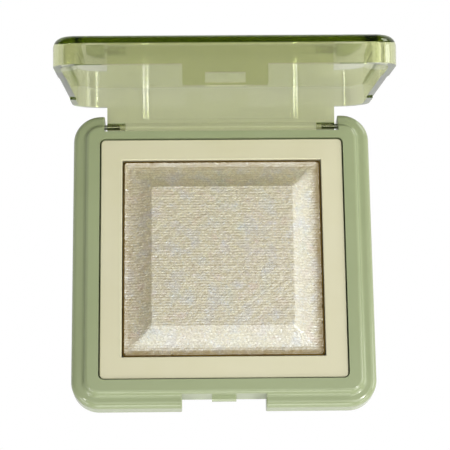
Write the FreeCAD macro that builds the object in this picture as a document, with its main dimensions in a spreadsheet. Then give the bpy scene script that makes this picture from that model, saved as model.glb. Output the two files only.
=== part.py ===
import FreeCAD, Part
import math
import os
import re

import Sketcher
from FreeCAD import Placement, Rotation, Vector

# A square powder compact: a moulded base with a snap-in frame that holds a pan of pressed powder, and a
# clear lid on two short steel pins. X runs along the hinge, Y towards it and Z up, and the origin is in
# the middle of the face that the base stands on. Sizes are in millimetres.

SIZES = {
    # base
    "base_width": 70.0,
    "base_length": 70.5,
    "base_corner": 6.4,
    "base_floor": 1.6,
    "ledge_top": 6.6,           # the outer ledge, which the lid's rim closes on
    "ledge_width": 3.0,
    "ledge_round": 1.5,
    "foot_round": 0.9,
    "rim_rise": 1.4,            # the raised rim round the frame, above the ledge
    "rim_width": 3.3,
    "rim_round": 0.9,
    "step_round": 0.8,
    "edge_break": 0.3,
    # blank paper label let into the underside
    "label_inset": 13.0,
    "label_recess": 0.15,
    "label_paper": 0.1,
    "label_gap": 0.4,
    "label_corner": 2.0,
    # frame that snaps into the base
    "tray_gap": 0.3,
    "tray_drop": 0.4,           # how far the frame's face lies under the rim
    "tray_plate": 1.4,
    "tray_bar": 5.0,
    "tray_wall": 1.1,
    "tray_floor": 1.0,
    "tray_corner": 1.0,
    "tray_break": 0.25,
    "push_hole": 12.0,
    "bead_length": 10.0,
    "bead_height": 0.6,
    "bead_reach": 0.6,
    "bead_level": 4.0,
    "bead_gap": 0.15,
    # pan and powder
    "pan_gap": 0.2,
    "pan_wall": 0.3,
    "pan_depth": 4.0,
    "pan_corner": 0.8,
    "glue_height": 0.4,
    "glue_radius": 3.0,
    "glue_inset": 9.0,
    "powder_proud": 0.1,        # the powder's edge above the pan's edge
    "powder_rise": 1.6,         # the raised square above the powder's edge
    "bevel_width": 6.4,
    # hinge
    "hinge_inset": 1.45,        # pin axis in from the base's back
    "hinge_height": 1.8,
    "ear_width": 7.3,
    "back_strip": 1.75,         # base wall between the frame and the hinge recess
    "neck_gap": 0.45,
    "neck_thick": 1.9,
    "neck_relief": 0.6,
    "relief_side": 8.35,        # full-thickness part at each end of the neck
    "relief_slope": 1.8,        # half of the sloping side's width
    "relief_round": 5.0,
    "knuckle_radius": 1.3,
    "pin_radius": 0.6,
    "pin_length": 7.2,
    "pin_grip": 3.7,            # how far it is pressed into the ear
    "pin_bite": 0.01,
    "pin_clearance": 0.05,
    "pin_end_gap": 1.3,         # the lid's bore past the pin's end
    "pin_chamfer": 0.15,
    # lid
    "lid_overhang": 0.25,       # how far each side stands out past the base
    "lid_end_inset": 0.45,
    "lid_back_corner": 7.0,
    "lid_front_corner": 4.8,
    "lid_depth": 6.1,
    "lid_plate": 1.75,
    "lid_wall": 1.4,
    "lid_round": 2.2,
    "seat_gap": 0.1,
    "rail_depth": 0.35,         # shallow relief along each side of the lid's rim
    "rail_back": 15.3,
    "rail_front": 19.3,
    "lid_open": 77.5,           # degrees from closed, as modelled
    # catch
    "catch_width": 17.5,
    "catch_side_gap": 0.9,
    "catch_length": 4.45,
    "catch_round": 0.6,
    "nub_width": 5.6,
    "nub_reach": 1.2,
    "nub_height": 1.5,
    "nub_chamfer": 0.4,
    "catch_clearance": 0.15,    # between the nub's tip and the catch's ledge
    "window_side_gap": 1.3,
    "nub_gap": 0.3,
    "ledge_height": 0.6,        # the catch's ledge, which hooks under the nub
}

doc = FreeCAD.newDocument("compact")
sheet = doc.addObject("Spreadsheet::Sheet", "Sizes")
for row, (alias, number) in enumerate(SIZES.items(), start=1):
    sheet.set(f"A{row}", alias)
    sheet.set(f"B{row}", str(number))
    sheet.setAlias(f"B{row}", alias)
doc.recompute()

# Places worked out from the driving sizes, as formulas of their names.
RIM_X = "(base_width / 2 - ledge_width)"
RIM_Y = "(base_length / 2 - ledge_width)"
RIM_TOP = "(ledge_top + rim_rise)"
CAVITY_X = f"({RIM_X} - rim_width)"
CAVITY_Y = f"({RIM_Y} - rim_width)"
TRAY_X = f"({CAVITY_X} - tray_gap)"
TRAY_Y = f"({CAVITY_Y} - tray_gap)"
TRAY_TOP = f"({RIM_TOP} - tray_drop)"
WELL_X = f"({TRAY_X} - tray_bar)"
WELL_Y = f"({TRAY_Y} - tray_bar)"
WELL_FLOOR = "(base_floor + tray_floor)"
PAN_X = f"({WELL_X} - pan_gap)"
PAN_Y = f"({WELL_Y} - pan_gap)"
PAN_FLOOR = f"({WELL_FLOOR} + glue_height)"
PAN_TOP = f"({PAN_FLOOR} + pan_depth)"
POWDER_EDGE = f"({PAN_TOP} + powder_proud)"
POWDER_TOP = f"({POWDER_EDGE} + powder_rise)"
HINGE_Y = "(base_length / 2 - hinge_inset)"
RECESS_X = "(base_width / 2 - ear_width)"
RECESS_Y = f"({CAVITY_Y} + back_strip)"
NECK_X = f"({RECESS_X} - neck_gap)"
PIN_OUTER = f"({RECESS_X} + pin_grip)"
PIN_INNER = f"({PIN_OUTER} - pin_length)"
NOTCH_X = "(catch_width / 2 + catch_side_gap)"

# The lid is drawn closed, about the pin axis as its own origin, and then turned open.
LID_X = "(base_width / 2 + lid_overhang)"
LID_BACK = "(hinge_inset - lid_end_inset)"
LID_FRONT = f"(lid_end_inset - base_length / 2 - {HINGE_Y})"
LID_RIM = "(ledge_top + seat_gap - hinge_height)"
LID_TOP = f"({LID_RIM} + lid_depth)"
LID_CEILING = f"({LID_TOP} - lid_plate)"
CATCH_FOOT = f"({LID_RIM} - catch_length)"
CATCH_LEDGE = f"({CATCH_FOOT} + ledge_height)"
NUB_TIP = f"({RIM_Y} + nub_reach)"
NUB_FOOT = f"({CATCH_LEDGE} + hinge_height + nub_gap)"
CATCH_FACE = f"(-{NUB_TIP} - catch_clearance - {HINGE_Y})"

LABEL_X = "(base_width / 2 - label_inset)"
LABEL_Y = "(base_length / 2 - label_inset)"

BEYOND = "(ledge_top + base_floor)"     # far enough for a cut to leave the solid
MARGIN = 0.1                            # how far past a face a cut or a search for its edges reaches
NEAR = 1e-4                             # two places closer than this count as one


def sized(formula):
    """The formula with each size's name pointed at the sheet."""
    return re.sub(r"[a-z][a-z_]+", r"Sizes.\g<0>", formula)


def value(formula):
    """The number that a formula gives now."""
    return float(sheet.evalExpression(sized(formula)))


def bind(thing, place, formula):
    """Tie one property of an object to the sheet."""
    thing.setExpression(place, sized(formula))


def new_body(label):
    """An empty body whose label names the piece."""
    body = doc.addObject("PartDesign::Body", label)
    body.Label = label
    return body


def new_sketch(body, name, plane, level):
    """An empty sketch on one of the body's own planes, raised to a level."""
    sketch = body.newObject("Sketcher::SketchObject", name)
    base = next(item for item in body.Origin.OriginFeatures if item.Role == plane)
    sketch.AttachmentSupport = [(base, "")]
    sketch.MapMode = "FlatFace"
    bind(sketch, "AttachmentOffset.Base.z", level)
    return sketch


def fix(sketch, kind, point, formula):
    """Hold a point of the sketch at a formula's distance from its origin along one axis."""
    number = sketch.addConstraint(Sketcher.Constraint(kind, -1, 1, *point, value(formula)))
    bind(sketch, f"Constraints[{number}]", formula)


def rectangles(body, name, level, boxes):
    """A sketch of rectangles on the XY plane, each (low x, high x, low y, high y) in formulas."""
    sketch = new_sketch(body, name, "XY_Plane", level)
    for low_x, high_x, low_y, high_y in boxes:
        west, east = value(low_x), value(high_x)
        south, north = value(low_y), value(high_y)
        corners = [Vector(west, south), Vector(east, south), Vector(east, north), Vector(west, north)]
        first = sketch.GeometryCount
        for side in range(4):
            sketch.addGeometry(Part.LineSegment(corners[side], corners[(side + 1) % 4]), False)
        for side in range(4):
            after = first + (side + 1) % 4
            sketch.addConstraint(Sketcher.Constraint("Coincident", first + side, 2, after, 1))
            level_or_upright = "Vertical" if side % 2 else "Horizontal"
            sketch.addConstraint(Sketcher.Constraint(level_or_upright, first + side))
        fix(sketch, "DistanceX", (first, 1), low_x)
        fix(sketch, "DistanceY", (first, 1), low_y)
        fix(sketch, "DistanceX", (first + 2, 1), high_x)
        fix(sketch, "DistanceY", (first + 2, 1), high_y)
    return sketch


def polygon(body, name, level, points):
    """A sketch on the XY plane through the points, each (x, y) in formulas."""
    sketch = new_sketch(body, name, "XY_Plane", level)
    places = [Vector(value(x), value(y)) for x, y in points]
    count = len(points)
    for number in range(count):
        sketch.addGeometry(Part.LineSegment(places[number], places[(number + 1) % count]), False)
    for number, (x, y) in enumerate(points):
        sketch.addConstraint(Sketcher.Constraint("Coincident", number, 2, (number + 1) % count, 1))
        fix(sketch, "DistanceX", (number, 1), x)
        fix(sketch, "DistanceY", (number, 1), y)
    return sketch


def around(half_x, half_y):
    """The rectangle with these half sizes about the origin."""
    return (f"-{half_x}", half_x, f"-{half_y}", half_y)


def rounded_rectangle(body, name, level, box, radius):
    """A sketch of one rectangle whose corners are arcs, in formulas as in rectangles()."""
    sketch = new_sketch(body, name, "XY_Plane", level)
    west, east, south, north = (value(formula) for formula in box)
    turn = value(radius)
    centres = [(west, south), (east, south), (east, north), (west, north)]
    centres = [Vector(x + turn if x == west else x - turn, y + turn if y == south else y - turn)
               for x, y in centres]
    for number, centre in enumerate(centres):
        start = math.pi + number * math.pi / 2
        full = Part.Circle(centre, Vector(0, 0, 1), turn)
        sketch.addGeometry(Part.ArcOfCircle(full, start, start + math.pi / 2), False)
    for number in range(4):
        start = sketch.getPoint(number, 2)
        end = sketch.getPoint((number + 1) % 4, 1)
        sketch.addGeometry(Part.LineSegment(start, end), False)
    for number in range(4):
        line = 4 + number
        sketch.addConstraint(Sketcher.Constraint("Tangent", number, 2, line, 1))
        sketch.addConstraint(Sketcher.Constraint("Tangent", line, 2, (number + 1) % 4, 1))
        sketch.addConstraint(Sketcher.Constraint("Vertical" if number % 2 else "Horizontal", line))
        size = sketch.addConstraint(Sketcher.Constraint("Radius", number, turn))
        bind(sketch, f"Constraints[{size}]", radius)
    fix(sketch, "DistanceY", (4, 1), box[2])
    fix(sketch, "DistanceX", (5, 1), box[1])
    fix(sketch, "DistanceY", (6, 1), box[3])
    fix(sketch, "DistanceX", (7, 1), box[0])
    return sketch


def circle(body, name, plane, level, across, up, radius):
    """A sketch of one circle."""
    sketch = new_sketch(body, name, plane, level)
    centre = Vector(value(across), value(up))
    sketch.addGeometry(Part.Circle(centre, Vector(0, 0, 1), value(radius)), False)
    fix(sketch, "DistanceX", (0, 3), across)
    fix(sketch, "DistanceY", (0, 3), up)
    number = sketch.addConstraint(Sketcher.Constraint("Radius", 0, value(radius)))
    bind(sketch, f"Constraints[{number}]", radius)
    return sketch


def pad(body, sketch, length):
    """Grow the sketch along its plane's normal."""
    feature = body.newObject("PartDesign::Pad", f"{sketch.Name}_pad")
    feature.Profile = sketch
    bind(feature, "Length", length)
    doc.recompute()
    return feature


def pocket(body, sketch, length, along=False):
    """Cut the sketch against its plane's normal, or along it, and make sure that something is cut."""
    before = body.Tip.Shape.Volume
    feature = body.newObject("PartDesign::Pocket", f"{sketch.Name}_pocket")
    feature.Profile = sketch
    feature.Reversed = along
    bind(feature, "Length", length)
    doc.recompute()
    if math.isclose(feature.Shape.Volume, before):
        raise ValueError(f"{feature.Name} cuts nothing")
    return feature


def finish_edges(body, name, kind, size, keep):
    """Round or chamfer the edges of the tip that keep() picks."""
    doc.recompute()
    tip = body.Tip
    chosen = [f"Edge{number}" for number, edge in enumerate(tip.Shape.Edges, start=1) if keep(edge)]
    if not chosen:
        raise ValueError(f"{name} finds no edge")
    feature = body.newObject(f"PartDesign::{kind}", name)
    feature.Base = (tip, chosen)
    bind(feature, "Radius" if kind == "Fillet" else "Size", size)
    doc.recompute()
    return feature


def near(number, formula):
    """True if a number is what the formula gives."""
    return math.isclose(number, value(formula), abs_tol=NEAR)


def upright(edge):
    """True on a straight edge along Z."""
    box = edge.BoundBox
    return box.XLength < NEAR and box.YLength < NEAR


def flat_at(edge, level):
    """True on an edge that lies all at one height."""
    box = edge.BoundBox
    return near(box.ZMin, level) and near(box.ZMax, level)


def middle(edge):
    """The middle of an edge's box."""
    return edge.BoundBox.Center


def within(edge, half_x, half_y):
    """True on an edge whose middle lies inside a rectangle about the origin, or close outside it."""
    centre = middle(edge)
    return abs(centre.x) < value(half_x) + MARGIN and abs(centre.y) < value(half_y) + MARGIN


def inside(edge, half_x, half_y):
    """True on an edge that lies wholly inside a rectangle about the origin, or close outside it."""
    box = edge.BoundBox
    across = max(abs(box.XMin), abs(box.XMax))
    along = max(abs(box.YMin), abs(box.YMax))
    return across < value(half_x) + MARGIN and along < value(half_y) + MARGIN


# Base: the ledge, the raised rim, the hollow for the frame, the hinge recess and the thumb notch.

base = new_body("base_shell")
pad(base, rectangles(base, "ledge", "0", [around("base_width / 2", "base_length / 2")]), "ledge_top")
finish_edges(base, "ledge_corners", "Fillet", "base_corner", upright)
finish_edges(base, "foot_edge", "Fillet", "foot_round", lambda edge: flat_at(edge, "0"))
pad(base, rectangles(base, "rim", "base_floor", [around(RIM_X, RIM_Y)]), f"{RIM_TOP} - base_floor")
finish_edges(base, "rim_corners", "Fillet", "base_corner - ledge_width",
             lambda edge: upright(edge) and edge.BoundBox.ZMax > value("ledge_top") + MARGIN)
finish_edges(base, "ledge_edge", "Fillet", "ledge_round",
             lambda edge: flat_at(edge, "ledge_top") and not within(edge, RIM_X, RIM_Y))
finish_edges(base, "rim_edge", "Fillet", "rim_round", lambda edge: flat_at(edge, RIM_TOP))
finish_edges(base, "rim_foot", "Fillet", "step_round",
             lambda edge: flat_at(edge, "ledge_top") and inside(edge, RIM_X, RIM_Y))

pocket(base, rectangles(base, "cavity", RIM_TOP, [around(CAVITY_X, CAVITY_Y)]), f"{RIM_TOP} - base_floor")
finish_edges(base, "cavity_corners", "Fillet", "tray_corner + tray_gap",
             lambda edge: upright(edge) and within(edge, CAVITY_X, CAVITY_Y))
bead_x = f"({CAVITY_X} - bead_reach)"
bead_y = f"({CAVITY_Y} - bead_reach)"
bead_half = "bead_length / 2"
beads = rectangles(base, "beads", "bead_level", [
    (bead_x, f"{CAVITY_X} + bead_reach", f"-{bead_half}", bead_half),
    (f"-{CAVITY_X} - bead_reach", f"-{bead_x}", f"-{bead_half}", bead_half),
    (f"-{bead_half}", bead_half, bead_y, f"{CAVITY_Y} + bead_reach"),
    (f"-{bead_half}", bead_half, f"-{CAVITY_Y} - bead_reach", f"-{bead_y}"),
])
pad(base, beads, "bead_height")

pocket(base, rectangles(base, "recess", BEYOND,
                        [(f"-{RECESS_X}", RECESS_X, RECESS_Y, "base_length")]), f"2 * {BEYOND}")
pocket(base, rectangles(base, "notch", BEYOND,
                        [(f"-{NOTCH_X}", NOTCH_X, "-base_length", f"-{RIM_Y}")]), f"2 * {BEYOND}")
finish_edges(base, "ear_edges", "Fillet", "edge_break",
             lambda edge: upright(edge) and near(abs(middle(edge).x), RECESS_X)
             and middle(edge).y > value(RECESS_Y) + MARGIN)
finish_edges(base, "notch_edges", "Fillet", "edge_break",
             lambda edge: upright(edge) and near(abs(middle(edge).x), NOTCH_X)
             and middle(edge).y < -value(RIM_Y) - MARGIN)
nub = rectangles(base, "nub", NUB_FOOT,
                 [("-nub_width / 2", "nub_width / 2", f"-{NUB_TIP}", f"edge_break - {RIM_Y}")])
pad(base, nub, "nub_height")
finish_edges(base, "nub_edges", "Chamfer", "nub_chamfer",
             lambda edge: near(edge.BoundBox.YMin, f"-{NUB_TIP}") and edge.BoundBox.YLength < NEAR
             and edge.BoundBox.XLength > NEAR)
for side, start in (("left", f"-{RECESS_X}"), ("right", RECESS_X)):
    hole = circle(base, f"{side}_pin_hole", "YZ_Plane", start,
                  HINGE_Y, "hinge_height", "pin_radius - pin_bite")
    pocket(base, hole, "ear_width", along=(side == "right"))

label_bed = rounded_rectangle(base, "label_bed", "0", around(LABEL_X, LABEL_Y), "label_corner")
pocket(base, label_bed, "label_recess", along=True)

label = new_body("base_label")
paper_box = around(f"({LABEL_X} - label_gap)", f"({LABEL_Y} - label_gap)")
paper = rounded_rectangle(label, "paper", "label_recess - label_paper", paper_box, "label_corner - label_gap")
pad(label, paper, "label_paper")

# Frame: a plate with a skirt round it, a well for the pan and a push-out hole under it.

tray = new_body("insert_tray")
pad(tray, rectangles(tray, "block", "base_floor", [around(TRAY_X, TRAY_Y)]), f"{TRAY_TOP} - base_floor")
finish_edges(tray, "block_corners", "Fillet", "tray_corner", upright)
pocket(tray, rectangles(tray, "well", TRAY_TOP, [around(WELL_X, WELL_Y)]), f"{TRAY_TOP} - {WELL_FLOOR}")
trough = rectangles(tray, "trough", "base_floor", [
    around(f"({TRAY_X} - tray_wall)", f"({TRAY_Y} - tray_wall)"),
    around(f"({WELL_X} + tray_wall)", f"({WELL_Y} + tray_wall)"),
])
pocket(tray, trough, f"{TRAY_TOP} - tray_plate - base_floor", along=True)
push_hole = circle(tray, "push_hole", "XY_Plane", WELL_FLOOR, "0", "0", "push_hole / 2")
pocket(tray, push_hole, "tray_floor")
slot_x = f"({bead_x} - bead_gap)"
slot_y = f"({bead_y} - bead_gap)"
slot_half = f"({bead_half} + bead_gap)"
slots = rectangles(tray, "slots", "bead_level - bead_gap", [
    (slot_x, CAVITY_X, f"-{slot_half}", slot_half),
    (f"-{CAVITY_X}", f"-{slot_x}", f"-{slot_half}", slot_half),
    (f"-{slot_half}", slot_half, slot_y, CAVITY_Y),
    (f"-{slot_half}", slot_half, f"-{CAVITY_Y}", f"-{slot_y}"),
])
pocket(tray, slots, "bead_height + 2 * bead_gap", along=True)
finish_edges(tray, "plate_edges", "Fillet", "tray_break", lambda edge: flat_at(edge, TRAY_TOP))

# Pan, the powder pressed into it, and the dots of glue that hold it down.

pan = new_body("pan")
pad(pan, rectangles(pan, "pan_block", PAN_FLOOR, [around(PAN_X, PAN_Y)]), "pan_depth")
finish_edges(pan, "pan_corners", "Fillet", "pan_corner", upright)
powder_x = f"({PAN_X} - pan_wall)"
powder_y = f"({PAN_Y} - pan_wall)"
pocket(pan, rectangles(pan, "pan_hollow", PAN_TOP, [around(powder_x, powder_y)]), "pan_depth - pan_wall")
finish_edges(pan, "hollow_corners", "Fillet", "pan_corner - pan_wall",
             lambda edge: upright(edge) and within(edge, powder_x, powder_y))

powder = new_body("pressed_powder")
cake = rectangles(powder, "cake", f"{PAN_FLOOR} + pan_wall", [around(powder_x, powder_y)])
pad(powder, cake, f"{POWDER_EDGE} - {PAN_FLOOR} - pan_wall")
finish_edges(powder, "cake_corners", "Fillet", "pan_corner - pan_wall", upright)
bevel_foot = rectangles(powder, "bevel_foot", POWDER_EDGE,
                        [around(f"({powder_x} - pan_wall)", f"({powder_y} - pan_wall)")])
bevel_head = rectangles(powder, "bevel_head", POWDER_TOP,
                        [around(f"({powder_x} - bevel_width)", f"({powder_y} - bevel_width)")])
bevel = powder.newObject("PartDesign::AdditiveLoft", "bevel")
bevel.Profile = bevel_foot
bevel.Sections = [bevel_head]

dots = []
for number, (side_x, side_y) in enumerate(((-1, -1), (1, -1), (1, 1), (-1, 1)), start=1):
    dot = doc.addObject("Part::Cylinder", f"glue_dot_{number}")
    bind(dot, "Radius", "glue_radius")
    bind(dot, "Height", "glue_height")
    bind(dot, "Placement.Base.x", f"{side_x} * ({PAN_X} - glue_inset)")
    bind(dot, "Placement.Base.y", f"{side_y} * ({PAN_Y} - glue_inset)")
    bind(dot, "Placement.Base.z", WELL_FLOOR)
    dots.append(dot)
glue = doc.addObject("Part::Compound", "pan_glue")
glue.Label = "pan_glue"
glue.Links = dots

# Hinge pins: pressed into the base's ears, running in the lid's knuckle.

pins = []
for side, start in (("left", f"-{PIN_OUTER}"), ("right", PIN_INNER)):
    pin = new_body(f"hinge_pin_{side}")
    pad(pin, circle(pin, f"{side}_pin", "YZ_Plane", start, "0", "0", "pin_radius"), "pin_length")
    finish_edges(pin, f"{side}_pin_ends", "Chamfer", "pin_chamfer", lambda edge: edge.BoundBox.XLength < NEAR)
    bind(pin, "Placement.Base.y", HINGE_Y)
    bind(pin, "Placement.Base.z", "hinge_height")
    pins.append(pin)

# Lid: a clear shallow tray, with a neck down to its knuckle at the back and a catch at the front.

lid = new_body("lid")
pad(lid, rectangles(lid, "lid_block", LID_RIM, [(f"-{LID_X}", LID_X, LID_FRONT, LID_BACK)]), "lid_depth")
finish_edges(lid, "front_corners", "Fillet", "lid_front_corner",
             lambda edge: upright(edge) and middle(edge).y < value(LID_FRONT) + MARGIN)
finish_edges(lid, "back_corners", "Fillet", "lid_back_corner",
             lambda edge: upright(edge) and middle(edge).y > value(LID_BACK) - MARGIN)
finish_edges(lid, "lid_edge", "Fillet", "lid_round", lambda edge: flat_at(edge, LID_TOP))
hollow_box = (f"-{LID_X} + lid_wall", f"{LID_X} - lid_wall",
              f"{LID_FRONT} + lid_wall", f"{LID_BACK} - lid_wall")
hollow = rounded_rectangle(lid, "hollow", LID_RIM, hollow_box, "lid_back_corner - lid_wall")
pocket(lid, hollow, f"{LID_CEILING} - {LID_RIM}", along=True)
neck = rectangles(lid, "neck", "0", [(f"-{NECK_X}", NECK_X, f"{LID_BACK} - neck_thick", LID_BACK)])
pad(lid, neck, f"{LID_CEILING} + neck_relief")
pad(lid, circle(lid, "knuckle", "YZ_Plane", f"-{NECK_X}", "0", "0", "knuckle_radius"), f"2 * {NECK_X}")
relief_x = f"({NECK_X} - relief_side)"
relief_face = f"({LID_BACK} - neck_thick)"
relief = polygon(lid, "relief", "knuckle_radius + neck_relief", [
    (f"-{relief_x} - relief_slope", f"{relief_face} - neck_relief"),
    (f"{relief_x} + relief_slope", f"{relief_face} - neck_relief"),
    (f"{relief_x} - relief_slope", f"{relief_face} + neck_relief"),
    (f"relief_slope - {relief_x}", f"{relief_face} + neck_relief"),
])
pocket(lid, relief, f"{LID_CEILING} - knuckle_radius - neck_relief", along=True)


def on_relief(edge):
    """True on an upright edge at the top or the foot of the relief's sloping sides."""
    off_slope = abs(abs(middle(edge).x) - value(relief_x))
    in_neck = middle(edge).y > value(relief_face) - MARGIN
    return upright(edge) and in_neck and off_slope < value("relief_slope") + MARGIN


finish_edges(lid, "relief_edges", "Fillet", "relief_round", on_relief)
for side, start in (("left", f"-{NECK_X}"), ("right", NECK_X)):
    bore = circle(lid, f"{side}_bore", "YZ_Plane", start, "0", "0", "pin_radius + pin_clearance")
    pocket(lid, bore, f"{NECK_X} - {PIN_INNER} + pin_end_gap", along=(side == "left"))

catch = rectangles(lid, "catch", CATCH_FOOT,
                   [("-catch_width / 2", "catch_width / 2", LID_FRONT, CATCH_FACE)])
pad(lid, catch, "catch_length + lid_wall")
finish_edges(lid, "catch_corners", "Fillet", "catch_round",
             lambda edge: edge.BoundBox.XLength < NEAR and flat_at(edge, CATCH_FOOT))
window_half = "(nub_width / 2 + window_side_gap)"
catch_window = rectangles(lid, "catch_window", CATCH_LEDGE, [
    (f"-{window_half}", window_half, f"{LID_FRONT} - {MARGIN}", f"{CATCH_FACE} + {MARGIN}"),
])
pocket(lid, catch_window, "nub_height + 2 * nub_gap", along=True)
rail_in = f"({LID_X} - lid_wall - {MARGIN})"
rail_out = f"({LID_X} + {MARGIN})"
rail_ends = (f"{LID_FRONT} + rail_front", f"{LID_BACK} - rail_back")
rails = rectangles(lid, "rails", LID_RIM, [(rail_in, rail_out, *rail_ends),
                                           (f"-{rail_out}", f"-{rail_in}", *rail_ends)])
pocket(lid, rails, "rail_depth", along=True)

lid.Placement = Placement(Vector(), Rotation(Vector(-1, 0, 0), 1))
lid.setExpression("Placement.Rotation.Angle", "Sizes.lid_open * 1 deg")
bind(lid, "Placement.Base.y", HINGE_Y)
bind(lid, "Placement.Base.z", "hinge_height")

# Check every object, then write each piece under its label.

doc.recompute()
for thing in doc.Objects:
    if {"Invalid", "Error"} & set(thing.State):
        raise ValueError(f"{thing.Name} failed: {thing.State}")

os.makedirs("parts", exist_ok=True)
for piece in [base, label, tray, pan, powder, glue, *pins, lid]:
    shape = piece.Shape
    if shape.isNull() or not shape.isValid():
        raise ValueError(f"{piece.Label} has no sound shape")
    shape.exportStep(f"parts/{piece.Label}.step")
    box = shape.BoundBox
    size = f"{box.XLength:.2f} x {box.YLength:.2f} x {box.ZLength:.2f} mm"
    print(f"{piece.Label}: {len(shape.Solids)} solid(s), {shape.Volume:.1f} mm3, {size}")
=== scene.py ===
# %% [markdown]
# # A pressed-powder compact, finished in Blender
#
# The object is a square make-up compact that stands open. A moulded base holds a cream frame, the frame
# holds a shallow metal pan, and the pan holds a cake of pearly pressed powder. A clear, faintly green lid
# turns on two short steel pins.
#
# The hard pieces come from the CAD model, already at their real size and place, so they are loaded as they
# are and only get their finishes here. The powder is different: its face is a fine woven relief with soft
# bevels and a crumbly edge, which no CAD solid shows well, so it is made in this file.

# %% Load the CAD pieces
import math

import bpy
import numpy as np
from mathutils import Matrix, Vector


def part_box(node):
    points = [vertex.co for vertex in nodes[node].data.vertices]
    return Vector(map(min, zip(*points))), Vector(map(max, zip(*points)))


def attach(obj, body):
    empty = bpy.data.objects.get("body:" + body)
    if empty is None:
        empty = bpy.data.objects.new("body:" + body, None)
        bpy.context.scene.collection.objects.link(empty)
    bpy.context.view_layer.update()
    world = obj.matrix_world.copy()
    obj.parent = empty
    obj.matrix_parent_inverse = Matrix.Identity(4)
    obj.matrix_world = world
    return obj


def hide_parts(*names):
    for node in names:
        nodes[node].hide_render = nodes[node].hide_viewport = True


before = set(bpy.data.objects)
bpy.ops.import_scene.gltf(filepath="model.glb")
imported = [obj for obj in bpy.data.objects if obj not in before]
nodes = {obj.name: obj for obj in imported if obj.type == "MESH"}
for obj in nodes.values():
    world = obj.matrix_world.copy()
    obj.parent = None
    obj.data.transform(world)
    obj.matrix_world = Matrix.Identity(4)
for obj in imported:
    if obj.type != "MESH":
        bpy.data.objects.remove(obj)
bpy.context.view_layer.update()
MM = 0.001
print("CAD pieces:", ", ".join(sorted(nodes)))

# %% [markdown]
# ## The camera
#
# The compact is looked at from steeply above its front edge with a long lens, so that its sides stay almost
# parallel. A camera could be dragged into place in the viewport, or aimed with a Track To constraint. Here it
# is placed by the point that it aims at, how high and how far away it stands, and how much it is tilted about
# its own line of sight. Each of these can then be changed alone.

# %% Camera
LENS = 144.5                                # mm
SENSOR = 36.0                               # mm wide
AIM = Vector((0.6, 7.45, 8.0)) * MM         # just behind the middle of the powder
DISTANCE = 421.3 * MM
ELEVATION = math.radians(73.86)
HEADING = math.radians(3.32)                # the line of sight's turn from +Y towards +X
ROLL = math.radians(2.77)


def sight_axes(elevation, heading, roll):
    """Right, up and forward of a camera: forward dips by the elevation, and right and up turn by the roll."""
    forward = Vector((math.sin(heading) * math.cos(elevation),
                      math.cos(heading) * math.cos(elevation),
                      -math.sin(elevation)))
    level = forward.cross(Vector((0, 0, 1))).normalized()
    above = level.cross(forward)
    right = level * math.cos(roll) + above * math.sin(roll)
    return right, right.cross(forward), forward


right, up, forward = sight_axes(ELEVATION, HEADING, ROLL)
camera = bpy.data.objects.new("camera", bpy.data.cameras.new("camera"))
camera.data.lens = LENS
camera.data.sensor_width = SENSOR
facing = Matrix((right, up, -forward)).transposed().to_4x4()
camera.matrix_world = Matrix.Translation(AIM - forward * DISTANCE) @ facing
bpy.context.scene.collection.objects.link(camera)
bpy.context.scene.camera = camera
print(f"camera {LENS} mm, {math.degrees(ELEVATION):.1f} degrees up, {DISTANCE / MM:.0f} mm away")

# %% [markdown]
# ## Light
#
# The compact stands in a dark room, and soft lamps do all the work. A picture of a real studio could light it
# instead, but then no part of the light could be changed alone. The key lamp is high in front on the right.
# It brightens the powder's front and right bevels and leaves the left one darker, which is what tells the eye
# that the face is raised. Weaker lamps, low and high, stand round the front and the right, one behind on the
# right, and a faint one right above. None stands straight behind, because the lid's edges would mirror it
# as a grey veil, and the room is dark for the same reason: clear plastic mirrors all of it. Two small lamps
# are there for the relief in the lid's neck, which mirrors each of them as a crisp line.

# %% Lamps
LAMP_REACH = 1.40                           # metres from the compact
LAMP_SIZE = 0.60
SPOT_ELEVATION = 60
SPOT_WIDTH, SPOT_HEIGHT = LAMP_SIZE / 5, LAMP_SIZE / 4
SOFT_LAMPS = (                              # name, azimuth, elevation, watts
    ("key_lamp", 45, 55, 4.0), ("front_lamp", 0, 20, 4.2), ("front_high_lamp", 0, 70, 1.8),
    ("front_left_lamp", -45, 20, 4.5), ("front_right_lamp", 45, 20, 3.8), ("right_lamp", 90, 20, 5.2),
    ("right_high_lamp", 90, 55, 1.7), ("back_right_lamp", 135, 20, 5.6), ("top_lamp", 0, 89, 0.6),
)
SPOT_LAMPS = (("left_spot_lamp", -56, 2.3), ("right_spot_lamp", 56, 3.6))


def area_lamp(name, azimuth, elevation, width, height, watts):
    """A rectangular area lamp that faces the object, at angles in degrees: 0 is in front, 90 to the right."""
    data = bpy.data.lights.new(name, "AREA")
    data.shape = "RECTANGLE"
    data.size = width
    data.size_y = height
    data.energy = watts
    turn, rise = math.radians(azimuth), math.radians(elevation)
    place = LAMP_REACH * Vector((math.sin(turn) * math.cos(rise), -math.cos(turn) * math.cos(rise),
                                 math.sin(rise)))
    lamp = bpy.data.objects.new(name, data)
    lamp.matrix_world = Matrix.Translation(place) @ (-place).to_track_quat("-Z", "Y").to_matrix().to_4x4()
    bpy.context.scene.collection.objects.link(lamp)


for name, azimuth, elevation, watts in SOFT_LAMPS:
    area_lamp(name, azimuth, elevation, LAMP_SIZE, LAMP_SIZE, watts)
for name, azimuth, watts in SPOT_LAMPS:
    area_lamp(name, azimuth, SPOT_ELEVATION, SPOT_WIDTH, SPOT_HEIGHT, watts)

# %% [markdown]
# ## The room
#
# Colours are written as the hex codes that a screen shows, while a renderer counts in linear light, where
# twice the number is twice the light. One function converts them, here and in every finish below.
#
# The room is a single dim tone. The render also has to follow light for many turns, because inside the lid's
# plate it zigzags from face to face before it comes out. With the usual few turns those paths end early, and
# the plate's edge turns black.

# %% Room
ROOM_GLOW = 0.05
LID_BOUNCES = 40


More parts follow.
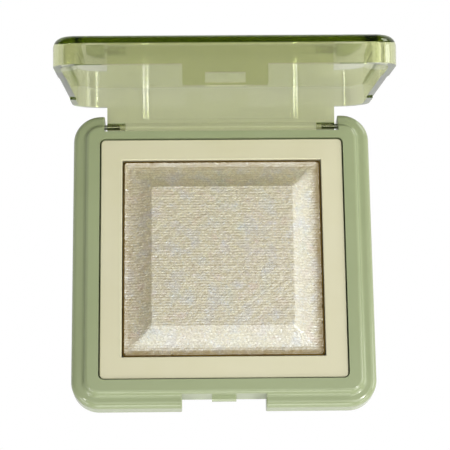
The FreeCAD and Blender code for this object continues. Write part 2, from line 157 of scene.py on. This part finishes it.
def colour(code):
    """Linear red, green, blue and alpha of an sRGB hex code."""
    parts = np.array([int(code[place:place + 2], 16) for place in (1, 3, 5)]) / 255
    linear = np.where(parts <= 0.04045, parts / 12.92, ((parts + 0.055) / 1.055) ** 2.4)
    return (*linear.tolist(), 1.0)


world = bpy.data.worlds.new("studio")
world.use_nodes = True
bpy.context.scene.world = world
surround = world.node_tree.nodes["Background"]
surround.inputs["Color"].default_value = colour("#fffffd")
surround.inputs["Strength"].default_value = ROOM_GLOW
bpy.context.scene.view_settings.view_transform = "Standard"
cycles = bpy.context.scene.cycles
cycles.max_bounces = cycles.transmission_bounces = cycles.glossy_bounces = LID_BOUNCES
print(f"room at {ROOM_GLOW}, light followed for {LID_BOUNCES} turns")

# %% [markdown]
# ## The floor
#
# The compact stands on a sheet of milky acrylic with light under it, which fills the object from below and
# shines through the lid. It could be a thick slab with lamps under it, but one face that glows by itself does
# the same and is quicker to render. A mesh is made from an array of points and a list of faces, as every
# shape in this file is.

# %% Floor
FLOOR_HALF = 1.5
FLOOR_SHIFT = 0.4           # keeps the seam between the floor's two triangles away from the compact
FLOOR_DROP = 0.02 * MM      # two faces in exactly one place would show through each other


def link_mesh(name, points, faces, smooth=True):
    """A mesh object at the origin from an array of points and a list of faces."""
    mesh = bpy.data.meshes.new(name)
    mesh.from_pydata(points.tolist(), [], faces)
    mesh.polygons.foreach_set("use_smooth", np.full(len(mesh.polygons), smooth))
    mesh.update()
    made = bpy.data.objects.new(name, mesh)
    bpy.context.scene.collection.objects.link(made)
    return made


corners = np.array([(-1, -1, 0), (1, -1, 0), (1, 1, 0), (-1, 1, 0)]) * FLOOR_HALF
corners += (FLOOR_SHIFT, 0, -FLOOR_DROP)
floor = link_mesh("floor", corners, [(0, 1, 2, 3)], smooth=False)
print(f"floor {2 * FLOOR_HALF:.0f} m wide")

# %% [markdown]
# ## Helpers for finishes
#
# Every finish below is a small graph of shader nodes. Such a graph can be drawn by hand in the shader editor.
# Written as code it is shorter to read, if one function adds a node with its settings and its inputs. An
# input is a plain value or another node's output, and an output becomes a link.
#
# Each pattern is measured in millimetres on the object, from the piece's own Object coordinates, so a grain
# stays the same size on a large piece and a small one.

# %% Helpers for finishes
def add(material, kind, inputs=None, **settings):
    """Add a shader node with its settings, and fill its inputs with values or links."""
    made = material.node_tree.nodes.new("ShaderNode" + kind)
    for name, setting in settings.items():
        setattr(made, name, setting)
    for socket, source in (inputs or {}).items():
        if isinstance(source, bpy.types.NodeSocket):
            material.node_tree.links.new(source, made.inputs[socket])
        else:
            made.inputs[socket].default_value = source
    return made


def new_material(name):
    """An empty material, its output node and its Object coordinates, which are metres in the CAD frame."""
    material = bpy.data.materials.new(name)
    material.use_nodes = True
    material.node_tree.nodes.clear()
    output = add(material, "OutputMaterial")
    place = add(material, "TexCoord").outputs["Object"]
    return material, output, place


def per_mm(size):
    """The texture scale that makes one cell of a pattern this many millimetres wide."""
    return 1.0 / (size * MM)


def join(material, shader, output, socket="Surface"):
    """Link the end of a graph to the material's output node."""
    material.node_tree.links.new(shader, output.inputs[socket])


def dress(piece, material):
    """Give a piece one material."""
    piece.data.materials.clear()
    piece.data.materials.append(material)


def mottle(material, place, size, detail, dark, light):
    """The value of a noise with cells of this many mm, and a colour that it moves between two hex codes."""
    noise = add(material, "TexNoise", {"Vector": place, "Scale": per_mm(size), "Detail": detail})
    tint = add(material, "MixRGB", {"Fac": noise.outputs["Fac"], "Color1": colour(dark),
                                    "Color2": colour(light)})
    return noise.outputs["Fac"], tint.outputs["Color"]


print(f"a pattern 0.5 mm wide has a scale of {per_mm(0.5):.0f}")

# %% [markdown]
# ## The floor's finish
#
# Milky acrylic, sanded matt, with light behind it. The sanding leaves faint marks that are drawn 1.5 mm wide.
# A camera that is set for the object sees the lit sheet burnt out to plain white, while the object is lit by
# a grey-white sheet with a weak glow. One finish can't be both, so two are mixed: one for the camera's own
# rays, and one for all the others. A third makes the sheet clear when it is seen from below, so that the
# underside of the compact can be looked at.

# %% Lit acrylic table
TABLE_GLOW = 0.34
BURNT_WHITE = 1.0


def lit_acrylic():
    """White to the camera, a grey-white glowing sheet to all other rays, and clear from below."""
    material, output, place = new_material("sanded_acrylic_lit")
    _, tint = mottle(material, place, 1.5, 4.0, "#bebebc", "#b7b7b5")
    sheet = add(material, "BsdfPrincipled", {
        "Base Color": tint, "Roughness": 0.9,
        "Emission Color": colour("#ffffff"), "Emission Strength": TABLE_GLOW,
    })
    burnt = add(material, "Emission", {"Color": colour("#ffffff"), "Strength": BURNT_WHITE})
    seen = add(material, "LightPath").outputs["Is Camera Ray"]
    both = add(material, "MixShader", {0: seen, 1: sheet.outputs["BSDF"], 2: burnt.outputs["Emission"]})
    below = add(material, "NewGeometry").outputs["Backfacing"]
    clear = add(material, "BsdfTransparent")
    sided = add(material, "MixShader", {0: below, 1: both.outputs["Shader"], 2: clear.outputs["BSDF"]})
    join(material, sided.outputs["Shader"], output)
    return material


dress(floor, lit_acrylic())
print("floor: sanded acrylic, lit from below")

# %% [markdown]
# ## Glossy moulded ABS: the base
#
# The base is ABS, injection moulded in a polished tool. The eye reads that from a crisp highlight that
# handling has softened here and there, a very shallow orange-peel ripple in it, and a colour that drifts a
# little where the plastic flowed. One flat green with one roughness would look like a drawing of plastic, so
# three slow noises move the colour, the roughness and the surface. ABS has an index of refraction near 1.54.

# %% Base plastic
def sage_abs():
    """Sage plastic: a slow drift of colour, rubbed places that are less glossy, and orange peel."""
    material, output, place = new_material("moulded_abs_sage")
    _, tint = mottle(material, place, 14.0, 2.0, "#99a37b", "#a3ad87")
    rubs = add(material, "TexNoise", {"Vector": place, "Scale": per_mm(2.5), "Detail": 6.0, "Roughness": 0.7})
    polish = add(material, "MapRange", {"Value": rubs.outputs["Fac"], "To Min": 0.06, "To Max": 0.18})
    peel = add(material, "TexNoise", {"Vector": place, "Scale": per_mm(1.6), "Detail": 1.0})
    ripple = add(material, "Bump", {"Height": peel.outputs["Fac"], "Strength": 0.35, "Distance": 0.02 * MM})
    shader = add(material, "BsdfPrincipled", {
        "Base Color": tint, "Roughness": polish.outputs["Result"], "IOR": 1.54,
        "Normal": ripple.outputs["Normal"],
    })
    join(material, shader.outputs["BSDF"], output)
    return material


dress(nodes["base_shell"], sage_abs())
print("base_shell: glossy moulded ABS")

# %% [markdown]
# ## Satin moulded ABS: the frame
#
# The cream frame comes from a tool with a fine spark-eroded skin. That skin spreads the highlight into a
# soft sheen. A higher roughness alone would do most of it, but a grain in the surface also breaks the sheen
# up a little, as the real skin does. The real grain is about 0.05 mm, so it is drawn 0.25 mm wide to show at
# all.

# %% Frame plastic
def cream_abs():
    """Cream plastic: a slow drift of colour, and a fine grain in its sheen and surface."""
    material, output, place = new_material("spark_textured_abs_cream")
    _, tint = mottle(material, place, 11.0, 2.0, "#d3ceab", "#d9d5b8")
    grain = add(material, "TexNoise", {"Vector": place, "Scale": per_mm(0.25), "Detail": 2.0})
    skin = add(material, "Bump", {"Height": grain.outputs["Fac"], "Strength": 0.5, "Distance": 0.01 * MM})
    sheen = add(material, "MapRange", {"Value": grain.outputs["Fac"], "To Min": 0.34, "To Max": 0.46})
    shader = add(material, "BsdfPrincipled", {
        "Base Color": tint, "Roughness": sheen.outputs["Result"], "IOR": 1.54,
        "Normal": skin.outputs["Normal"],
    })
    join(material, shader.outputs["BSDF"], output)
    return material


dress(nodes["insert_tray"], cream_abs())
print("insert_tray: satin moulded ABS")

# %% [markdown]
# ## Clear tinted styrene: the lid
#
# The lid is clear styrene with a little green dye. Through a thin wall it is pale, and along the plate, end
# to end, it is deep green, because each millimetre takes away the same share of the light. A tint on the
# surface can't do that, but a volume absorption inside the solid does exactly that. The surface keeps a light
# tint as well, because a dye that is strong enough for the thin wall by itself would turn the plate's edge
# black. That surface tint is partly painted shade: it darkens the thin walls as a shaded floor seen through
# them would, while the floor here is lit. Styrene bends light a little more than glass does, with an index of
# 1.57.

# %% Lid plastic
LID_DENSITY = 102.0                         # per metre, for a colour of black


def clear_styrene():
    """Clear plastic: faint sinks, a haze in its polish, and dye all through the solid."""
    material, output, place = new_material("clear_styrene_green")
    sinks = add(material, "TexNoise", {"Vector": place, "Scale": per_mm(7.0), "Detail": 1.0})
    ripple = add(material, "Bump", {"Height": sinks.outputs["Fac"], "Strength": 0.3, "Distance": 0.02 * MM})
    haze = add(material, "TexNoise", {"Vector": place, "Scale": per_mm(1.2), "Detail": 5.0})
    polish = add(material, "MapRange", {"Value": haze.outputs["Fac"], "To Min": 0.02, "To Max": 0.07})
    # The light Base Color tint is partly painted shade: it darkens the thin walls as a shaded floor behind
    # them would.
    shader = add(material, "BsdfPrincipled", {
        "Base Color": colour("#e5e7c8"), "Roughness": polish.outputs["Result"], "IOR": 1.57,
        "Transmission Weight": 1.0, "Normal": ripple.outputs["Normal"],
        "Specular Tint": colour("#f7faef"),
    })
    join(material, shader.outputs["BSDF"], output)
    dye = add(material, "VolumeAbsorption", {"Color": colour("#e1e8a6"), "Density": LID_DENSITY})
    join(material, dye.outputs["Volume"], output, "Volume")
    return material


dress(nodes["lid"], clear_styrene())
print("lid: clear styrene, absorbing")

# %% [markdown]
# ## Metal: the pan and the hinge pins
#
# The pan is drawn from thin sheet and lacquered, and only its edge shows, as a dark gold line. The pins are
# cut from drawn steel wire, which leaves fine lines along them. Both are metals: no diffuse colour at all,
# only a tinted reflection, spread by their roughness. The lines could be modelled, but they are far too fine
# for that, so a noise that is stretched along the metal stands for them.

# %% Pan and pins
X_AXIS, Z_AXIS = 0, 2
LINE_SQUASH = 0.05                          # a line is 20 times as long as it is wide
LINE_CHANGE = 0.3                           # how much the lines change the roughness, as a share of it


def drawn_metal(name, code, roughness, line_mm, along):
    """Metal with fine drawing lines: a noise that is stretched along one axis moves roughness and surface."""
    material, output, place = new_material(name)
    stretch = [1.0, 1.0, 1.0]
    stretch[along] = LINE_SQUASH
    drawn = add(material, "Mapping", {"Vector": place, "Scale": stretch})
    lines = add(material, "TexNoise", {"Vector": drawn.outputs["Vector"], "Scale": per_mm(line_mm)})
    rough = add(material, "MapRange", {"Value": lines.outputs["Fac"], "To Min": roughness * (1 - LINE_CHANGE),
                                       "To Max": roughness * (1 + LINE_CHANGE)})
    relief = add(material, "Bump", {"Height": lines.outputs["Fac"], "Strength": 0.4, "Distance": 0.01 * MM})
    shader = add(material, "BsdfPrincipled", {
        "Base Color": colour(code), "Metallic": 1.0, "Roughness": rough.outputs["Result"],
        "Normal": relief.outputs["Normal"],
    })
    join(material, shader.outputs["BSDF"], output)
    return material


dress(nodes["pan"], drawn_metal("lacquered_sheet_gold", "#7d6532", roughness=0.45, line_mm=0.3, along=Z_AXIS))
pin_steel = drawn_metal("drawn_wire_steel", "#b4b4ae", roughness=0.26, line_mm=0.15, along=X_AXIS)
for side in ("left", "right"):
    dress(nodes[f"hinge_pin_{side}"], pin_steel)
print("pan and pins: drawn metal")

# %% [markdown]
# ## Glue and label
#
# Hot-melt glue is a milky, slightly waxy plastic. The label under the base is coated paper, left blank: a
# smooth white sheet whose fibres only just show. The fibres are drawn 0.4 mm wide. Both finishes are a pale
# tint with a fine grain in it, so one function with a few sizes makes either.

# %% Glue and label
def soft_finish(name, dark, light, grain_mm, roughness, depth_mm):
    """A pale finish with a fine grain, which moves its colour a little and its surface by a few microns."""
    material, output, place = new_material(name)
    grain, tint = mottle(material, place, grain_mm, 4.0, dark, light)
    relief = add(material, "Bump", {"Height": grain, "Strength": 0.5, "Distance": depth_mm * MM})
    shader = add(material, "BsdfPrincipled", {
        "Base Color": tint, "Roughness": roughness, "Normal": relief.outputs["Normal"],
    })
    join(material, shader.outputs["BSDF"], output)
    return material


dress(nodes["pan_glue"], soft_finish("hot_melt_glue", "#d9cfae", "#e8e0c6",
                                     grain_mm=1.0, roughness=0.35, depth_mm=0.05))
dress(nodes["base_label"], soft_finish("coated_label_paper", "#e4e4de", "#eeeeea",
                                       grain_mm=0.4, roughness=0.55, depth_mm=0.01))
print("pan_glue: hot-melt glue; base_label: blank coated paper")

# %% [markdown]
# ## The pressed powder
#
# A pan is filled with loose powder and a ribbed cloth is laid over it before the press comes down, so the
# cake keeps the cloth's weave: ribs across the pan, 0.64 mm apart, crossed by threads 0.9 mm apart. The press
# also leaves a raised square with four hollowed bevels. At the pan's wall the powder creeps up into a small
# lip, whose edge crumbles a little.
#
# It could be sculpted, or raised from a smooth block by a displacement texture. A formula is used instead, so
# that every rib, thread and bevel has a size that can be read and changed. All of it is one height over the
# pan: a grid with a height for each point, worked out as whole arrays. Rows are set close, five or six to a
# rib, and columns further apart, because the relief changes slowly along a rib. The grid's border is then
# carried down to the pan's floor, and one flat face under it closes the cake.

# %% Powder's sizes, from the CAD solid
low, high = (np.array(corner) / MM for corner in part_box("pressed_powder"))
HALF_X, HALF_Y = high[0], high[1]
CAKE_FOOT = low[2]
CAKE_TOP = high[2]
CORNER = 0.7                # radius of the cake's four corners
BEVEL_RISE = 1.95
BEVEL_WIDTH = 6.4           # from the wall to the raised square, with the lip
BEVEL_POWER = 1.6           # above 1 the bevel is hollow, steepest next to the raised square
RIDGE_ROUND = 0.35          # how far the two bevels blend where they meet
LIP_WIDTH = 1.1             # the powder creeps up the pan's wall
LIP_RISE = 0.35
# The border by the wall is partly rubbed-off flakes and partly painted shade where the cake meets the wall.
RUBBED_AND_SHADED_WIDTH = 2.2          # how far in from the wall the flakes are rubbed off
RIB_PITCH = 0.64
RIB_DEPTH = 0.048           # from crest to hollow, where the weave is full
THREAD_PITCH = 0.9
THREAD_ROWS = 3             # the threads line up again at every third rib
THREAD_SWAY = 0.3           # how far a thread strays, as a share of its pitch
RIB_SWAY, RIB_WANDER = 0.09, 0.03           # a rib's long and short strays
WEAVE_SHARE, WEAVE_CHANGE = 0.65, 0.35      # how much of the weave is left, and how that varies
LUMP_HEIGHT = 0.022
GRAIN_HEIGHT = 0.014
CRUMB_DEPTH = 0.15          # crumbs are missing along the wall, this deep
CRUMB_REACH = 0.5           # and this far in
EDGE_GAP, EDGE_CHANGE = 0.05, 0.06          # between the cake's edge and the pan's wall
EDGE_MOST = 0.15
ROWS, COLUMNS = 400, 230
random = np.random.default_rng(7)           # seeded, so that every run presses the same powder
print(f"powder {2 * HALF_X:.1f} x {2 * HALF_Y:.1f} mm, {CAKE_TOP - CAKE_FOOT:.1f} mm thick")


# %% Powder's height
def drift(x, y, size, count=24):
    """A smooth random field, about -1 to 1: a sum of waves in all directions, about this many mm long."""
    angle = random.uniform(0, 2 * math.pi, count)
    length = size * random.uniform(0.7, 1.6, count)
    phase = random.uniform(0, 2 * math.pi, count)
    turn_x = 2 * math.pi * np.cos(angle) / length
    turn_y = 2 * math.pi * np.sin(angle) / length
    waves = np.sin(x[..., None] * turn_x + y[..., None] * turn_y + phase)
    return waves.sum(-1) / math.sqrt(count / 2) / 2


def powder_height(x, y):
    """Height in mm: a lip at the wall, then a hollow bevel up to the raised square, plus ribs and grains.

    How far a point lies in from the wall is a blend of its distances to the two nearest sides: minus k times
    the logarithm of exp(-a / k) + exp(-b / k). It is close to the lesser one, but rounds the ridge where two
    bevels meet.
    """
    near_x = np.exp(-(HALF_X - np.abs(x)) / RIDGE_ROUND)
    near_y = np.exp(-(HALF_Y - np.abs(y)) / RIDGE_ROUND)
    inward = np.clip(-RIDGE_ROUND * np.log(near_x + near_y), 0, None)
    climb = np.clip((inward - LIP_WIDTH) / (BEVEL_WIDTH - LIP_WIDTH), 0, 1)
    lip = np.clip(1 - inward / LIP_WIDTH, 0, 1)
    height = CAKE_TOP - BEVEL_RISE + BEVEL_RISE * climb ** BEVEL_POWER + LIP_RISE * lip ** 2
    wander = RIB_SWAY * drift(x, y, 9.0) + RIB_WANDER * drift(x, y, 2.2)
    rib = 2 * math.pi * (y + wander) / RIB_PITCH
    row = np.round((y + wander) / RIB_PITCH)
    thread = np.cos(2 * math.pi * (x / THREAD_PITCH + row / THREAD_ROWS + THREAD_SWAY * drift(x, y, 4.0)))
    worn = WEAVE_SHARE + WEAVE_CHANGE * drift(x, y, 2.0)
    height += RIB_DEPTH / 2 * worn * (np.cos(rib) + thread)
    height += LUMP_HEIGHT * drift(x, y, 1.6) + GRAIN_HEIGHT * random.standard_normal(x.shape)
    crumb = np.clip(drift(x, y, 1.5), 0, None) * np.clip(1 - inward / CRUMB_REACH, 0, 1)
    return height - CRUMB_DEPTH * crumb


print(f"{ROWS * RIB_PITCH / (2 * HALF_Y):.1f} rows to a rib")
print(f"{COLUMNS * THREAD_PITCH / (2 * HALF_X):.1f} columns to a thread")


# %% Powder's mesh
def powder_grid():
    """The face's points: an even grid whose corners are rounded, and whose outermost points are crumbled.

    Within a corner's small square, a point at the shares (a, b) of its sides goes to the shares
    a * sqrt(1 - b * b / 2) and b * sqrt(1 - a * a / 2), which bends the square's corner into an arc.
    """
    x, y = np.meshgrid(np.linspace(-HALF_X, HALF_X, COLUMNS), np.linspace(-HALF_Y, HALF_Y, ROWS))
    across = np.clip((np.abs(x) - HALF_X + CORNER) / CORNER, 0, 1)
    along = np.clip((np.abs(y) - HALF_Y + CORNER) / CORNER, 0, 1)
    x -= np.sign(x) * CORNER * across * (1 - np.sqrt(1 - along ** 2 / 2))
    y -= np.sign(y) * CORNER * along * (1 - np.sqrt(1 - across ** 2 / 2))
    z = powder_height(x, y)
    crumble = np.clip(EDGE_GAP + EDGE_CHANGE * drift(x, y, 1.2), 0, EDGE_MOST)
    x[:, 0] += crumble[:, 0]
    x[:, -1] -= crumble[:, -1]
    y[0] += crumble[0]
    y[-1] -= crumble[-1]
    return np.stack([x, y, z], -1)


def closed_cake(face):
    """Points and faces of the grid, its border carried down to the floor, and one flat face under it."""
    rows, columns, _ = face.shape
    index = np.arange(rows * columns).reshape(rows, columns)
    quads = np.stack([index[:-1, :-1], index[:-1, 1:], index[1:, 1:], index[1:, :-1]], -1).reshape(-1, 4)
    border = np.concatenate([index[0, :-1], index[:-1, -1], index[-1, :0:-1], index[:0:-1, 0]])
    foot = face.reshape(-1, 3)[border].copy()
    foot[:, 2] = CAKE_FOOT
    below = rows * columns + np.arange(len(border))
    walls = np.stack([np.roll(border, -1), border, below, np.roll(below, -1)], -1)
    points = np.concatenate([face.reshape(-1, 3), foot]) * MM
    return points, quads.tolist() + walls.tolist() + [below[::-1].tolist()]


def rubbed_and_shaded_share(points):
    """How much each point is rubbed bare and darkened with painted shade: 1 at the pan's wall, falling evenly
    to 0 at the border's width.
    """
    gap = np.minimum(HALF_X - np.abs(points[:, 0]) / MM, HALF_Y - np.abs(points[:, 1]) / MM)
    return np.clip(1 - gap / RUBBED_AND_SHADED_WIDTH, 0, 1)


points, faces = closed_cake(powder_grid())
powder = link_mesh("powder_cake", points, faces)
# Each point's share of the border: rubbed-off flakes, and painted shade by the pan's wall.
powder.data.attributes.new("rubbed_and_shaded", "FLOAT", "POINT").data.foreach_set("value", rubbed_and_shaded_share(points))
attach(powder, "base")
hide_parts("pressed_powder")
print(f"powder_cake: {len(points)} points, {len(faces)} faces")

# %% [markdown]
# ## Pearly pressed powder
#
# The powder is talc and mica. Talc gives a soft matt ground, tan to cream in clouds a few millimetres wide.
# The mica is thin flat flakes with a coat of titania, which bends light strongly, with an index near 2.45.
# They send back a bright and slightly cool light, and a pale blue, pink or gold glint each. A cell pattern
# stands for them: every cell has one random colour, which picks its tint, its gloss and its tilt. Real flakes
# are about 0.05 mm, and they are drawn 0.35 mm wide so that they show. They also lie in drifts, some pinker,
# some bluer. Near the wall a darker, warm tan border is painted. It is partly bare talc where the flakes are
# rubbed off, and partly painted shade where the cake meets the pan's wall. One noisy colour would give the
# speckle but not the glints, and a painted picture would be tied to one size, so each layer is a pattern
# of its own.

# %% Powder's finish
TALC_SHADES = ((0.32, "#cba985"), (0.44, "#c4a76b"), (0.56, "#d0b678"), (0.70, "#b7ad8a"))
FLAKE_TINTS = ((0.0, "#a5926c"), (0.42, "#cfc098"), (0.66, "#ddd3b0"), (0.80, "#b7bcc0"), (0.88, "#cbb2ab"),
               (0.94, "#efe6c4"))
DRIFT_HUES = ((0.30, "#bfc5cf"), (0.40, "#c9c6c2"), (0.50, "#d2c79c"), (0.60, "#cfc3a0"), (0.70, "#d9b8a4"))
FLAKE_SHARE = 0.5
DRIFT_SHARE = 0.32


def powder_tint(material, place, flake):
    """Talc clouds, a tint for each flake over them, drifts of a hue over both, and the border by the wall,
    rubbed bare and darkened with painted shade.
    """
    cloud = add(material, "TexNoise", {"Vector": place, "Scale": per_mm(5.5), "Detail": 3.0}).outputs["Fac"]
    swirl = add(material, "TexNoise", {"Vector": place, "Scale": per_mm(4.2), "Detail": 3.0}).outputs["Fac"]
    layers = []
    for value, stops, blend in ((cloud, TALC_SHADES, "LINEAR"), (flake, FLAKE_TINTS, "CONSTANT"),
                                (swirl, DRIFT_HUES, "LINEAR")):
        layer = add(material, "ValToRGB", {"Fac": value})
        layer.color_ramp.interpolation = blend
        elements = layer.color_ramp.elements
        elements.remove(elements[1])
        elements[0].position = stops[0][0]
        elements[0].color = colour(stops[0][1])
        for position, code in stops[1:]:
            elements.new(position).color = colour(code)
        layers.append(layer.outputs["Color"])
    talc, flakes, drifts = layers
    speckled = add(material, "MixRGB", {"Fac": FLAKE_SHARE, "Color1": talc, "Color2": flakes})
    drifted = add(material, "MixRGB", {"Fac": DRIFT_SHARE, "Color1": speckled.outputs["Color"],
                                       "Color2": drifts})
    # The darker warm tan by the wall is partly bare talc and partly painted shade where the cake meets the
    # pan's wall.
    border = add(material, "Attribute", attribute_name="rubbed_and_shaded").outputs["Fac"]
    patchy = add(material, "MapRange", {"Value": cloud, "From Min": 0.35, "From Max": 0.65,
                                        "To Min": 0.5, "To Max": 1.6})
    bare_and_shaded = add(material, "Math", {0: border, 1: patchy.outputs["Result"]}, operation="MULTIPLY",
               use_clamp=True)
    rubbed_and_shaded = add(material, "MixRGB", {"Fac": bare_and_shaded.outputs["Value"], "Color1": drifted.outputs["Color"],
                                      "Color2": colour("#a8862f")})
    return rubbed_and_shaded.outputs["Color"]


def pearl_powder():
    """Pressed talc with coated mica: each flake's three random numbers give its tint, gloss and tilt."""
    material, output, place = new_material("pressed_mica_powder")
    flakes = add(material, "TexVoronoi", {"Vector": place, "Scale": per_mm(0.35)})
    pick = add(material, "SeparateColor", {"Color": flakes.outputs["Color"]})
    glint = add(material, "MapRange", {"Value": pick.outputs["Green"], "To Min": 0.36, "To Max": 0.66})
    tilt = add(material, "Bump", {"Height": pick.outputs["Blue"], "Strength": 0.7, "Distance": 0.05 * MM})
    shader = add(material, "BsdfPrincipled", {
        "Base Color": powder_tint(material, place, pick.outputs["Red"]),
        "Roughness": glint.outputs["Result"], "Normal": tilt.outputs["Normal"],
        "IOR": 2.45, "Specular IOR Level": 1.0, "Specular Tint": colour("#eaf8ff"),
    })
    join(material, shader.outputs["BSDF"], output)
    return material


dress(powder, pearl_powder())
print("powder_cake: talc and coated mica")
